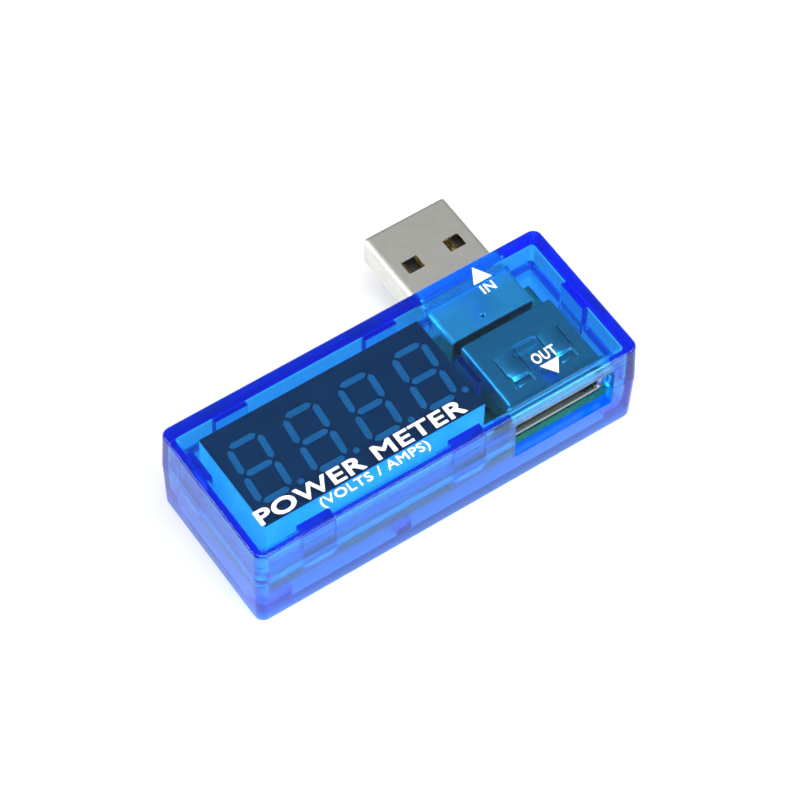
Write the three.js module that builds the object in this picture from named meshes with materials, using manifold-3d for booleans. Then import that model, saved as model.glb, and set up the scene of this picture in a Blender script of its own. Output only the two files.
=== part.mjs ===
// A plug-in power meter for a USB port: a translucent casing in two halves, a circuit board,
// a Standard-A plug at the back, a Standard-A receptacle at the front and a four-digit display.
// Millimetres, +Z up. The plug points along +Y and the receptacle opens towards -Y.
// Pieces are laid out from the casing's left front bottom corner, and one group at the end
// moves them so that the origin is at the centre of the bottom of the whole object.

import * as THREE from 'three';
import { mergeVertices } from 'three/addons/utils/BufferGeometryUtils.js';
import Module from 'manifold-3d';

const wasm = await Module();
wasm.setup();

// ---------- driving dimensions ----------

// casing
const CASING_LENGTH = 54;
const CASING_WIDTH = 21.6;
const WALL = 1.5;
const CORNER_RADIUS = 1.2;
const EDGE_ROUND = 0.4;
const PARTING_ABOVE_BOARD = 2.8;
const UNDERSIDE_SPACE = 2.2;

// lip of the lower casing that stands inside the upper wall
const LIP_HEIGHT = 1.3;
const LIP_THICKNESS = 0.6;
const LIP_ROOT = 1.2;

// snap tongues of the upper casing
const TONGUE_WIDTH = 4.5;
const TONGUE_THICKNESS = 0.8;
const TONGUE_DROP = 2.1;
const HOOK_REACH = 0.35;
const HOOK_HEIGHT = 0.8;
const LONG_WALL_TONGUES = [8.9, 29.9];
const RIGHT_TONGUE_FROM_FRONT = 11;
const LEFT_TONGUE_FROM_FRONT = 15.3;

// rib and oval ring under the ceiling
const CEILING_RIB_THICKNESS = 0.7;
const CEILING_RIB_HEIGHT = 4;
const CEILING_RIB_FORWARD = 2;
const RING_BEHIND_MOUTH = 6.3;
const RING_LENGTH = 3.8;
const RING_WIDTH = 1.7;
const RING_WALL = 0.35;

// circuit board
const BOARD_THICKNESS = 1.6;
const LEDGE_LENGTH = 3.5;
const LEDGE_REACH = 1;
const MIDDLE_RIB_LENGTH = 2;
const MIDDLE_RIB_FROM_LEFT = 19.7;

// connectors share one centre line
const CONNECTOR_FROM_RIGHT = 10.9;
const SHEET = 0.3;
const PLUG_WIDTH = 12;
const PLUG_HEIGHT = 4.5;
const PLUG_CORNER_RADIUS = 0.6;
const PLUG_REACH = 12.3;
const PLUG_LENGTH = 19.1;
const PLUG_TONGUE_LENGTH = 11.6;
const PLUG_TONGUE_HEIGHT = 1.95;
const PLUG_HOLE_WIDTH = 2.3;
const PLUG_HOLE_LENGTH = 2;
const PLUG_HOLE_OFFSET = 3.05;
const PLUG_HOLE_FROM_BACK_FACE = 5.8;
const RECEPTACLE_WIDTH = 13.1;
const RECEPTACLE_HEIGHT = 5.7;
const RECEPTACLE_DEPTH = 10.6;
const RECEPTACLE_LIFT = 1.4;
const RECEPTACLE_SETBACK = 1.9;
const RECEPTACLE_BLOCK = 2.3;
const FLANGE_SIDE = 0.5;
const FLANGE_RISE = 0.1;
const WINDOW_BELOW_RECEPTACLE = 0.4;
const RECEPTACLE_TONGUE_HEIGHT = 1.85;
const RECEPTACLE_TONGUE_WIDTH = 11.1;
const TONGUE_SETBACK = 1.2;
const SPRING_LENGTH = 4.9;
const SPRING_WIDTH = 2.8;
const SPRING_OFFSET = 3.05;
const SPRING_FROM_MOUTH = 1.9;
const SPRING_CUT = 0.25;

// spring contacts of both connectors
const CONTACT_WIDTH = 1;
const CONTACT_THICKNESS = 0.2;
const CONTACT_OFFSETS = [-3.5, -1, 1, 3.5];
const OUTER_CONTACT_EXTRA = 0.9;
const SHELL_TAB_WIDTH = 1.5;
const LEG_BELOW_BOARD = 0.9;

// display module
const DISPLAY_LENGTH = 30.6;
const DISPLAY_WIDTH = 14.1;
const DISPLAY_HEIGHT = 7.2;
const DISPLAY_FROM_LEFT = 3.77;
const DISPLAY_FROM_FRONT = 4.25;
const DISPLAY_WALL = 0.6;
const DISPLAY_MASK = 0.2;
const POTTING_THICKNESS = 1.4;
const DIODE_BOARD_THICKNESS = 0.8;
const DIGIT_COUNT = 4;
const DIGIT_PITCH = 7.69;
const SEGMENT_SPACING_X = 4.15;
const SEGMENT_SPACING_Y = 4.2;
const SEGMENT_THICKNESS = 0.85;
const SEGMENT_GAP = 0.28;
const DIGIT_SLANT = 0.09;
const POINT_RADIUS = 0.45;
const POINT_OFFSET = 2.97;
const PIN_SIDE = 0.5;
const PIN_PITCH = 2.54;
const PIN_ROW_SPACING = 10.16;
const PINS_PER_ROW = 6;

// parts under the board: length, width, height, and for chips the leads per side and their pitch
const MICROCONTROLLER = { length: 6.5, width: 4.4, height: 1, leads: 10, pitch: 0.65 };
const SENSE_AMPLIFIER = { length: 4.9, width: 3.9, height: 1.4, leads: 4, pitch: 1.27 };
const VOLTAGE_REGULATOR = { length: 2.9, width: 1.6, height: 1.1, leads: 2, pitch: 1.9 };
const SHUNT = { length: 6.3, width: 3.2, height: 0.6 };
const CHIP_RESISTOR = { length: 2, width: 1.25, height: 0.5 };
const CHIP_CAPACITOR = { length: 2, width: 1.25, height: 1.2 };
const LEAD_THICKNESS = 0.2;
const LEAD_DROP = 0.5;
const LEAD_REACH = 1.05;
const LEAD_KNEE = 0.45;
const LEAD_SHARE_OF_PITCH = 0.32;
const CHIP_STANDOFF = 0.1;

// places of those parts, from the display's centre, the connectors' line and the front
const MICROCONTROLLER_LEFT = 6;
const SENSE_AMPLIFIER_RIGHT = 5.5;
const RESISTORS_RIGHT = 12.2;
const RESISTOR_SPACING = [3, 3.2];
const REGULATOR_LEFT = 3.2;
const CAPACITORS_RIGHT = [0.6, 3.6];
const SUPPLY_PARTS_PAST_PLUG_REAR = 2.6;
const SHUNT_FROM_FRONT = 8;

// clearances
const SEAT = 0.05;
const CLOSE_FIT = 0.1;
const SLOT_CLEARANCE = 0.04;
const HOLE_CLEARANCE = 0.15;
const OVERLAP = 0.2;

// ---------- levels and places worked out from them ----------

const boardBottom = WALL + UNDERSIDE_SPACE;
const boardTop = boardBottom + BOARD_THICKNESS;
const parting = boardTop + PARTING_ABOVE_BOARD;
const ceiling = boardTop + 2 * SEAT + DISPLAY_HEIGHT;
const casingTop = ceiling + WALL;
const connectorX = CASING_LENGTH - CONNECTOR_FROM_RIGHT;
const plugBottom = boardTop + SEAT;
const plugTop = plugBottom + PLUG_HEIGHT;
const plugTip = CASING_WIDTH + PLUG_REACH;
const plugRear = plugTip - PLUG_LENGTH;
const receptacleBottom = boardTop + RECEPTACLE_LIFT;
const receptacleTop = receptacleBottom + RECEPTACLE_HEIGHT;
const receptacleRear = RECEPTACLE_SETBACK + RECEPTACLE_DEPTH;
const flangeHalfWidth = RECEPTACLE_WIDTH / 2 + FLANGE_SIDE;
const windowBottom = boardTop + CLOSE_FIT;
const windowTop = receptacleTop - WINDOW_BELOW_RECEPTACLE;
const legBottom = boardBottom - LEG_BELOW_BOARD;
const displayBottom = boardTop + SEAT;
const displayTop = displayBottom + DISPLAY_HEIGHT;
const displayCentreX = DISPLAY_FROM_LEFT + DISPLAY_LENGTH / 2;
const displayCentreY = DISPLAY_FROM_FRONT + DISPLAY_WIDTH / 2;
const lipInset = WALL + CLOSE_FIT + LIP_THICKNESS;
const boardInset = lipInset + CLOSE_FIT;

// ---------- shapes ----------

function box(x0, x1, y0, y1, z0, z1) {
  const geometry = new THREE.BoxGeometry(x1 - x0, y1 - y0, z1 - z0);
  return geometry.translate((x0 + x1) / 2, (y0 + y1) / 2, (z0 + z1) / 2);
}

// A rectangle with round corners, pushed up from z0 to z1; its top and bottom edges can be rounded.
function roundedBlock(x0, x1, y0, y1, z0, z1, radius, edge = 0) {
  const low = [x0 + edge, y0 + edge];
  const high = [x1 - edge, y1 - edge];
  const r = Math.max(radius - edge, 0.05);
  const outline = new THREE.Shape();
  outline.absarc(high[0] - r, high[1] - r, r, 0, Math.PI / 2);
  outline.absarc(low[0] + r, high[1] - r, r, Math.PI / 2, Math.PI);
  outline.absarc(low[0] + r, low[1] + r, r, Math.PI, 1.5 * Math.PI);
  outline.absarc(high[0] - r, low[1] + r, r, 1.5 * Math.PI, 2 * Math.PI);
  const geometry = new THREE.ExtrudeGeometry(outline, {
    depth: z1 - z0 - 2 * edge,
    curveSegments: 3,
    bevelEnabled: edge > 0,
    bevelSize: edge,
    bevelThickness: edge,
    bevelSegments: 3,
  });
  return geometry.translate(0, 0, z0 + edge);
}

// A flat outline of [y, z] points given thickness along X, centred on x.
function sideways(points, x, thickness) {
  const outline = new THREE.Shape(points.map(([y, z]) => new THREE.Vector2(y, z)));
  const geometry = new THREE.ExtrudeGeometry(outline, { depth: thickness, bevelEnabled: false });
  const axes = new THREE.Matrix4().makeBasis(
    new THREE.Vector3(0, 1, 0),
    new THREE.Vector3(0, 0, 1),
    new THREE.Vector3(1, 0, 0),
  );
  return geometry.applyMatrix4(axes).translate(x - thickness / 2, 0, 0);
}

// A flat outline of [x, y] points pushed up from z0 to z1.
function upright(points, z0, z1) {
  const outline = new THREE.Shape(points.map(([x, y]) => new THREE.Vector2(x, y)));
  const geometry = new THREE.ExtrudeGeometry(outline, { depth: z1 - z0, bevelEnabled: false });
  return geometry.translate(0, 0, z0);
}

function solidOf(geometry) {
  const bare = geometry.index ? geometry.toNonIndexed() : geometry.clone();
  bare.deleteAttribute('normal');
  bare.deleteAttribute('uv');
  const merged = mergeVertices(bare, 1e-4);
  return new wasm.Manifold(new wasm.Mesh({
    numProp: 3,
    vertProperties: merged.attributes.position.array,
    triVerts: new Uint32Array(merged.index.array),
  }));
}

function geometryOf(solid) {
  const mesh = solid.getMesh();
  const geometry = new THREE.BufferGeometry();
  geometry.setAttribute('position', new THREE.BufferAttribute(mesh.vertProperties.slice(), 3));
  geometry.setIndex(new THREE.BufferAttribute(mesh.triVerts.slice(), 1));
  geometry.computeVertexNormals();
  return geometry;
}

function joined(geometries) {
  return geometries.map(solidOf).reduce((whole, piece) => whole.add(piece));
}

// The solid of `keep` pieces joined, with `holes` taken out of it, as a geometry.
function carved(keep, holes) {
  let solid = joined(keep);
  if (holes.length) solid = solid.subtract(joined(holes));
  return geometryOf(solid);
}

// ---------- finishes ----------

function finish(color, roughness, metalness = 0) {
  return () => new THREE.MeshStandardMaterial({ color, roughness, metalness });
}

const bluePlastic = () => new THREE.MeshStandardMaterial({
  color: 0x2a3fd8,
  roughness: 0.15,
  transparent: true,
  opacity: 0.45,
});
const boardGreen = finish(0x12603c, 0.4);
const nickelSteel = finish(0xb9b8a8, 0.3, 1);
const goldPlate = finish(0xd9a441, 0.3, 1);
const blackPlastic = finish(0x1c1b18, 0.6);
const whitePlastic = finish(0xe8e8e4, 0.5);
const maskInk = finish(0x10141c, 0.35);
const milkyResin = finish(0xb9c4c8, 0.3);
const tinPlate = finish(0xc9ccce, 0.35, 1);
const chipBlack = finish(0x202225, 0.7);
const resistorBlack = finish(0x15161a, 0.35);
const capacitorTan = finish(0x9c7a55, 0.5);

const meter = new THREE.Group();

function place(name, geometry, material) {
  const mesh = new THREE.Mesh(geometry, material());
  mesh.name = name;
  meter.add(mesh);
}

// ---------- casing ----------

// Each snap tongue hangs on one wall. `along` is the place of its middle on that wall.
const tongues = [
  ...LONG_WALL_TONGUES.map((along) => ({ wall: 'front', along })),
  ...LONG_WALL_TONGUES.map((along) => ({ wall: 'back', along })),
  { wall: 'left', along: LEFT_TONGUE_FROM_FRONT },
  { wall: 'right', along: RIGHT_TONGUE_FROM_FRONT },
];

// A box on the inside of one wall: `from` and `to` are depths from the outer face of that wall.
function wallBox({ wall, along }, halfWidth, from, to, z0, z1) {
  const low = along - halfWidth;
  const high = along + halfWidth;
  if (wall === 'front') return box(low, high, from, to, z0, z1);
  if (wall === 'back') return box(low, high, CASING_WIDTH - to, CASING_WIDTH - from, z0, z1);
  if (wall === 'left') return box(from, to, low, high, z0, z1);
  return box(CASING_LENGTH - to, CASING_LENGTH - from, low, high, z0, z1);
}

function outerBlock() {
  return roundedBlock(0, CASING_LENGTH, 0, CASING_WIDTH, 0, casingTop, CORNER_RADIUS, EDGE_ROUND);
}

// The block between the walls, `inset` from the outer faces.
function innerBlock(inset, z0, z1) {
  const radius = Math.max(CORNER_RADIUS - inset, 0.3);
  return roundedBlock(inset, CASING_LENGTH - inset, inset, CASING_WIDTH - inset, z0, z1, radius);
}

// Openings that both halves share: the front window and the plug's way through the back wall.
function connectorOpenings() {
  const windowHalf = flangeHalfWidth + CLOSE_FIT;
  const plugHalf = PLUG_WIDTH / 2 + CLOSE_FIT;
  const behindWall = WALL + CLOSE_FIT + LIP_THICKNESS + OVERLAP;
  const frontWindow = box(
    connectorX - windowHalf, connectorX + windowHalf, -1, behindWall, windowBottom, windowTop,
  );
  const plugWay = box(
    connectorX - plugHalf, connectorX + plugHalf,
    CASING_WIDTH - behindWall, CASING_WIDTH + 1,
    plugBottom - SEAT, plugTop + CLOSE_FIT,
  );
  return [frontWindow, plugWay];
}

function upperCasing() {
  const everything = box(-1, CASING_LENGTH + 1, -1, CASING_WIDTH + 1, parting, casingTop + 1);
  const shell = solidOf(outerBlock())
    .intersect(solidOf(everything))
    .subtract(solidOf(innerBlock(WALL, parting - 1, ceiling)))
    .subtract(joined(connectorOpenings()));
  const half = TONGUE_WIDTH / 2;
  const inner = WALL + TONGUE_THICKNESS;
  const foot = parting - TONGUE_DROP;
  const hanging = tongues.flatMap((tongue) => [
    wallBox(tongue, half, WALL - OVERLAP, inner, parting, ceiling + OVERLAP),
    wallBox(tongue, half, WALL + SEAT, inner, foot, parting + OVERLAP),
    wallBox(tongue, half, WALL - HOOK_REACH, inner, foot, foot + HOOK_HEIGHT),
  ]);
  return geometryOf(shell.add(joined([...hanging, ...ceilingRibs()])));
}

// Under the ceiling: a rib between the display and the receptacle, and an oval ring that
// presses on the receptacle.
function ceilingRibs() {
  const displayRight = DISPLAY_FROM_LEFT + DISPLAY_LENGTH;
  const receptacleLeft = connectorX - RECEPTACLE_WIDTH / 2;
  const ribX = (displayRight + receptacleLeft) / 2;
  const ribY = displayCentreY - CEILING_RIB_FORWARD;
  const rib = box(
    ribX - CEILING_RIB_THICKNESS / 2, ribX + CEILING_RIB_THICKNESS / 2,
    ribY - TONGUE_WIDTH / 2, ribY + TONGUE_WIDTH / 2,
    ceiling - CEILING_RIB_HEIGHT, ceiling + OVERLAP,
  );
  const ringY = RECEPTACLE_SETBACK + RING_BEHIND_MOUTH;
  const low = receptacleTop + SEAT;
  const boreLength = RING_LENGTH - 2 * RING_WALL;
  const boreWidth = RING_WIDTH - 2 * RING_WALL;
  const ring = solidOf(oval(connectorX, ringY, RING_LENGTH, RING_WIDTH, low, ceiling + OVERLAP))
    .subtract(solidOf(oval(connectorX, ringY, boreLength, boreWidth, low - 1, ceiling)));
  return [rib, geometryOf(ring)];
}

// A slot-shaped block: `length` along X with round ends, `width` along Y.
function oval(x, y, length, width, z0, z1) {
  const r = width / 2 - 0.001;
  return roundedBlock(x - length / 2, x + length / 2, y - width / 2, y + width / 2, z0, z1, r);
}

function lowerCasing() {
  const below = box(-1, CASING_LENGTH + 1, -1, CASING_WIDTH + 1, -1, parting);
  const shell = solidOf(outerBlock())
    .intersect(solidOf(below))
    .subtract(solidOf(innerBlock(WALL, WALL, parting + 1)));
  const lip = solidOf(innerBlock(WALL + CLOSE_FIT, parting - OVERLAP, parting + LIP_HEIGHT))
    .add(solidOf(innerBlock(WALL - OVERLAP, parting - LIP_ROOT, parting)))
    .subtract(solidOf(innerBlock(lipInset, parting - 2 * LIP_ROOT, parting + 2 * LIP_HEIGHT)));
  const holes = [...connectorOpenings()];
  for (const tongue of tongues) {
    const side = TONGUE_WIDTH / 2 + CLOSE_FIT;
    const deep = WALL + TONGUE_THICKNESS + OVERLAP;
    const foot = parting - TONGUE_DROP;
    const pocket = WALL - HOOK_REACH - CLOSE_FIT;
    holes.push(wallBox(tongue, side, WALL, deep, foot - CLOSE_FIT, casingTop));
    holes.push(wallBox(tongue, side, pocket, deep, foot - CLOSE_FIT, foot + HOOK_HEIGHT + CLOSE_FIT));
  }
  const standing = shell.add(lip).subtract(joined(holes));
  return geometryOf(standing.add(joined(boardLedges())));
}

// Ledges at the corners and ribs at mid length that carry the board's long edges. The right
// pair starts past the connectors' soldering tabs.
function boardLedges() {
  const reach = boardInset + LEDGE_REACH;
  const top = boardBottom - SEAT;
  const pastTabs = connectorX + Math.max(PLUG_WIDTH, RECEPTACLE_WIDTH) / 2 + HOLE_CLEARANCE;
  const stretches = [
    [WALL - OVERLAP, WALL + LEDGE_LENGTH],
    [MIDDLE_RIB_FROM_LEFT, MIDDLE_RIB_FROM_LEFT + MIDDLE_RIB_LENGTH],
    [pastTabs, CASING_LENGTH - WALL + OVERLAP],
  ];
  return stretches.flatMap(([x0, x1]) => [
    box(x0, x1, WALL - OVERLAP, reach, WALL - OVERLAP, top),
    box(x0, x1, CASING_WIDTH - reach, CASING_WIDTH - WALL + OVERLAP, WALL - OVERLAP, top),
  ]);
}

place('upper_casing', upperCasing(), bluePlastic);
place('lower_casing', lowerCasing(), bluePlastic);

// ---------- connectors ----------

// The legs that pass through the board, as boxes: [x0, x1, y0, y1].
const legs = [];

// A contact is one bent strip: a flat run at height z, and a leg down through the board.
function contact(offset, tipY, legY, z) {
  const away = Math.sign(legY - tipY);
  const outer = legY + away * CONTACT_THICKNESS;
  legs.push([
    connectorX + offset - CONTACT_WIDTH / 2, connectorX + offset + CONTACT_WIDTH / 2,
    Math.min(legY, outer), Math.max(legY, outer),
  ]);
  const top = z + CONTACT_THICKNESS;
  const profile = [[tipY, z], [legY, z], [legY, legBottom], [outer, legBottom], [outer, top], [tipY, top]];
  const ordered = away > 0 ? [...profile].reverse() : profile;
  return sideways(ordered, connectorX + offset, CONTACT_WIDTH);
}

// The slot that a contact runs in: its strip and leg with a clearance all round.
function contactSlot(offset, tipY, legY, z) {
  const gap = SLOT_CLEARANCE;
  const x0 = connectorX + offset - CONTACT_WIDTH / 2 - gap;
  const x1 = connectorX + offset + CONTACT_WIDTH / 2 + gap;
  const outer = legY + Math.sign(legY - tipY) * CONTACT_THICKNESS;
  const low = Math.min(tipY, legY, outer);
  const high = Math.max(tipY, legY, outer);
  return [
    box(x0, x1, low - gap, high + gap, z - gap, z + CONTACT_THICKNESS + gap),
    box(x0, x1, Math.min(legY, outer) - gap, Math.max(legY, outer) + gap, legBottom - 1, z),
  ];
}

function contactTip(offset, nearTip, back) {
  const isOuter = Math.abs(offset) > CONTACT_OFFSETS[2];
  return isOuter ? nearTip : nearTip + back * OUTER_CONTACT_EXTRA;
}

// A tab of a sheet-metal shell that goes down through the board.
function shellTab(side, halfWidth, y, top) {
  const x0 = connectorX + side * halfWidth;
  const x1 = connectorX + side * (halfWidth - SHEET);
  const edges = [Math.min(x0, x1), Math.max(x0, x1), y - SHELL_TAB_WIDTH / 2, y + SHELL_TAB_WIDTH / 2];
  legs.push(edges);
  return box(...edges, legBottom, top);
}

// plug
const plugTongueTop = plugBottom + SHEET + SEAT + PLUG_TONGUE_HEIGHT;
const plugBlockFront = plugTip - PLUG_TONGUE_LENGTH;
const plugLegY = plugRear - 0.25;

function plugShell() {
  const x0 = connectorX - PLUG_WIDTH / 2;
  const x1 = connectorX + PLUG_WIDTH / 2;
  const tube = alongY(x0, x1, plugBottom, plugTop, plugRear, plugTip, PLUG_CORNER_RADIUS);
  const bore = alongY(
    x0 + SHEET, x1 - SHEET, plugBottom + SHEET, plugTop - SHEET,
    plugRear - 1, plugTip + 1, PLUG_CORNER_RADIUS - SHEET,
  );
  const holeY = CASING_WIDTH + PLUG_HOLE_FROM_BACK_FACE;
  const holes = [-1, 1].map((side) => box(
    connectorX + side * PLUG_HOLE_OFFSET - PLUG_HOLE_WIDTH / 2,
    connectorX + side * PLUG_HOLE_OFFSET + PLUG_HOLE_WIDTH / 2,
    holeY - PLUG_HOLE_LENGTH / 2, holeY + PLUG_HOLE_LENGTH / 2,
    plugBottom - 1, plugTop + 1,
  ));
  const tabs = [-1, 1].map((side) => shellTab(side, PLUG_WIDTH / 2, plugRear + 2, plugBottom + 1));
  return geometryOf(joined([tube, ...tabs]).subtract(joined([bore, ...holes])));
}

// A bar along Y whose section is a rectangle with round corners.
function alongY(x0, x1, z0, z1, y0, y1, radius) {
  const bar = roundedBlock(x0, x1, -z1, -z0, y0, y1, radius);
  return bar.rotateX(-Math.PI / 2);
}

function plugInsulator() {
  const inside = PLUG_WIDTH / 2 - SHEET - SEAT;
  const x0 = connectorX - inside;
  const x1 = connectorX + inside;
  const low = plugBottom + SHEET + SEAT;
  const high = plugTop - SHEET - SEAT;
  const round = PLUG_CORNER_RADIUS - SHEET;
  const block = alongY(x0, x1, low, high, plugRear + SEAT, plugBlockFront, round);
  const tongue = alongY(x0, x1, low, plugTongueTop, plugBlockFront - 1, plugTip - 0.5, round);
  const slots = CONTACT_OFFSETS.flatMap((offset) => (
    contactSlot(offset, contactTip(offset, plugTip - 1.2, -1), plugLegY, plugTongueTop - 0.1)
  ));
  return carved([block, tongue], slots);
}

place('plug_shell', plugShell(), nickelSteel);
place('plug_insulator', plugInsulator(), blackPlastic);
CONTACT_OFFSETS.forEach((offset, i) => {
  const tip = contactTip(offset, plugTip - 1.2, -1);
  place(`plug_contact_${i + 1}`, contact(offset, tip, plugLegY, plugTongueTop - 0.1), goldPlate);
});

// receptacle
const receptacleBlockFront = receptacleRear - SHEET - SEAT - RECEPTACLE_BLOCK;
const receptacleTongueTop = receptacleTop - SHEET - 0.75;
const receptacleTongueBottom = receptacleTongueTop - RECEPTACLE_TONGUE_HEIGHT;
const receptacleLegY = receptacleBlockFront + 1.2;
const receptacleContactZ = receptacleTongueBottom + 0.1 - CONTACT_THICKNESS;
const receptacleContactTip = RECEPTACLE_SETBACK + TONGUE_SETBACK + 0.8;

function receptacleShell() {
  const outside = RECEPTACLE_WIDTH / 2;
  const y0 = RECEPTACLE_SETBACK;
  const tube = box(
    connectorX - outside, connectorX + outside, y0, receptacleRear, receptacleBottom, receptacleTop,
  );
  const flange = box(
    connectorX - flangeHalfWidth, connectorX + flangeHalfWidth, y0, y0 + SHEET,
    receptacleBottom - FLANGE_RISE, receptacleTop + FLANGE_RISE,
  );
  const bore = box(
    connectorX - outside + SHEET, connectorX + outside - SHEET,
    y0 - 1, receptacleRear - SHEET, receptacleBottom + SHEET, receptacleTop - SHEET,
  );
  const footWay = box(
    connectorX - outside + SHEET, connectorX + outside - SHEET,
    receptacleBlockFront - SEAT, receptacleRear - SHEET, boardTop, receptacleBottom + 1,
  );
  const tabY = (y0 + receptacleRear) / 2 + 1;
  const tabs = [-1, 1].map((side) => shellTab(side, outside, tabY, receptacleBottom + 1));
  const cuts = [-1, 1].flatMap((side) => springCuts(connectorX + side * SPRING_OFFSET));
  return geometryOf(joined([tube, flange, ...tabs]).subtract(joined([bore, footWay, ...cuts])));
}

// Three thin slots that free a retention spring on its two sides and its front end, in the
// shell's top and bottom sheets alike.
function springCuts(x) {
  const front = RECEPTACLE_SETBACK + SPRING_FROM_MOUTH;
  const back = front + SPRING_LENGTH;
  const side = SPRING_WIDTH / 2;
  return [[receptacleBottom - 0.1, receptacleBottom + 0.5], [receptacleTop - 0.5, receptacleTop + 0.1]]
    .flatMap(([z0, z1]) => [
      box(x - side - SPRING_CUT, x - side, front, back, z0, z1),
      box(x + side, x + side + SPRING_CUT, front, back, z0, z1),
      box(x - side - SPRING_CUT, x + side + SPRING_CUT, front, front + SPRING_CUT, z0, z1),
    ]);
}

function receptacleInsulator() {
  const inside = RECEPTACLE_WIDTH / 2 - SHEET - SEAT;
  const block = box(
    connectorX - inside, connectorX + inside, receptacleBlockFront, receptacleRear - SHEET - SEAT,
    boardTop + SEAT, receptacleTop - SHEET - SEAT,
  );
  const tongue = box(
    connectorX - RECEPTACLE_TONGUE_WIDTH / 2, connectorX + RECEPTACLE_TONGUE_WIDTH / 2,
    RECEPTACLE_SETBACK + TONGUE_SETBACK, receptacleBlockFront + 1,
    receptacleTongueBottom, receptacleTongueTop,
  );
  const slots = CONTACT_OFFSETS.flatMap((offset) => contactSlot(
    offset, contactTip(offset, receptacleContactTip, 1), receptacleLegY, receptacleContactZ,
  ));
  return carved([block, tongue], slots);
}

place('receptacle_shell', receptacleShell(), nickelSteel);
place('receptacle_insulator', receptacleInsulator(), whitePlastic);
CONTACT_OFFSETS.forEach((offset, i) => {
  const tip = contactTip(offset, receptacleContactTip, 1);
  const strip = contact(offset, tip, receptacleLegY, receptacleContactZ);
  place(`receptacle_contact_${i + 1}`, strip, goldPlate);
});

// ---------- display module ----------

const maskBottom = displayTop - DISPLAY_MASK;
const diodeBoardBottom = displayBottom + 0.3;
const pottingBottom = diodeBoardBottom + DIODE_BOARD_THICKNESS + SEAT;
const pottingTop = pottingBottom + POTTING_THICKNESS;

// A point of a slanted digit, from its own centre to the casing's corner.
function digitPoint(digit, x, y) {
  const centreX = displayCentreX + (digit - (DIGIT_COUNT - 1) / 2) * DIGIT_PITCH;
  return [centreX + x + DIGIT_SLANT * y, displayCentreY + y];
}

// The seven bars of a digit as pointed outlines, and its round point. `grow` widens them all.
function digitOutlines(digit, grow) {
  const w = SEGMENT_SPACING_X / 2;
  const h = SEGMENT_SPACING_Y;
  const t = SEGMENT_THICKNESS / 2 + grow;
  const gap = SEGMENT_GAP - grow;
  const flat = [1, 0, -1].map((row) => [
    [-w + gap, row * h], [-w + gap + t, row * h - t], [w - gap - t, row * h - t],
    [w - gap, row * h], [w - gap - t, row * h + t], [-w + gap + t, row * h + t],
  ]);
  const tall = [[-1, 0], [1, 0], [-1, -1], [1, -1]].map(([side, row]) => [
    [side * w, row * h + gap], [side * w + t, row * h + gap + t], [side * w + t, row * h + h - gap - t],
    [side * w, row * h + h - gap], [side * w - t, row * h + h - gap - t], [side * w - t, row * h + gap + t],
  ]);
  const point = Array.from({ length: 8 }, (_, i) => {
    const angle = (i / 8) * 2 * Math.PI;
    const r = POINT_RADIUS + grow;
    return [POINT_OFFSET + DIGIT_SLANT * h + r * Math.cos(angle), -h + r * Math.sin(angle)];
  });
  return [...flat, ...tall, point].map((outline) => outline.map(([x, y]) => digitPoint(digit, x, y)));
}

function lightPipes(grow, z0, z1) {
  const digits = Array.from({ length: DIGIT_COUNT }, (_, digit) => digit);
  return digits.flatMap((digit) => digitOutlines(digit, grow)).map((outline) => upright(outline, z0, z1));
}

// The display's outline, `inset` from its sides, from z0 to z1.
function displayBox(inset, z0, z1) {
  return box(
    DISPLAY_FROM_LEFT + inset, DISPLAY_FROM_LEFT + DISPLAY_LENGTH - inset,
    DISPLAY_FROM_FRONT + inset, DISPLAY_FROM_FRONT + DISPLAY_WIDTH - inset, z0, z1,
  );
}

const pins = Array.from({ length: 2 * PINS_PER_ROW }, (_, i) => {
  const column = i % PINS_PER_ROW;
  const row = Math.floor(i / PINS_PER_ROW) - 0.5;
  const x = displayCentreX + (column - (PINS_PER_ROW - 1) / 2) * PIN_PITCH;
  return { x, y: displayCentreY + row * PIN_ROW_SPACING };
});

function pinBox({ x, y }, grow, z0, z1) {
  const s = PIN_SIDE / 2 + grow;
  return box(x - s, x + s, y - s, y + s, z0, z1);
}

function displayHousing() {
  const cavity = displayBox(DISPLAY_WALL, displayBottom - 1, pottingTop + SEAT);
  const pipes = lightPipes(SLOT_CLEARANCE, pottingTop - 1, displayTop);
  return carved([displayBox(0, displayBottom, maskBottom - 0.01)], [cavity, ...pipes]);
}

function displayMask() {
  const pipes = lightPipes(SLOT_CLEARANCE, maskBottom - 1, displayTop + 1);
  return carved([displayBox(0, maskBottom, displayTop)], pipes);
}

function displayResin() {
  const potting = displayBox(DISPLAY_WALL + SEAT, pottingBottom, pottingTop);
  return carved([potting, ...lightPipes(0, pottingTop - 0.5, displayTop - 0.02)], []);
}

function diodeBoard() {
  const sheet = displayBox(DISPLAY_WALL + SEAT, diodeBoardBottom, diodeBoardBottom + DIODE_BOARD_THICKNESS);
  return carved([sheet], pins.map((pin) => pinBox(pin, SEAT, displayBottom, pottingBottom + 1)));
}

place('display_housing', displayHousing(), whitePlastic);
place('display_mask', displayMask(), maskInk);
place('display_resin', displayResin(), milkyResin);
place('display_diode_board', diodeBoard(), whitePlastic);
pins.forEach((pin, i) => {
  const top = diodeBoardBottom + DIODE_BOARD_THICKNESS;
  place(`display_pin_${String(i + 1).padStart(2, '0')}`, pinBox(pin, 0, legBottom, top), tinPlate);
});

// ---------- circuit board and the parts on its underside ----------

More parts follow.
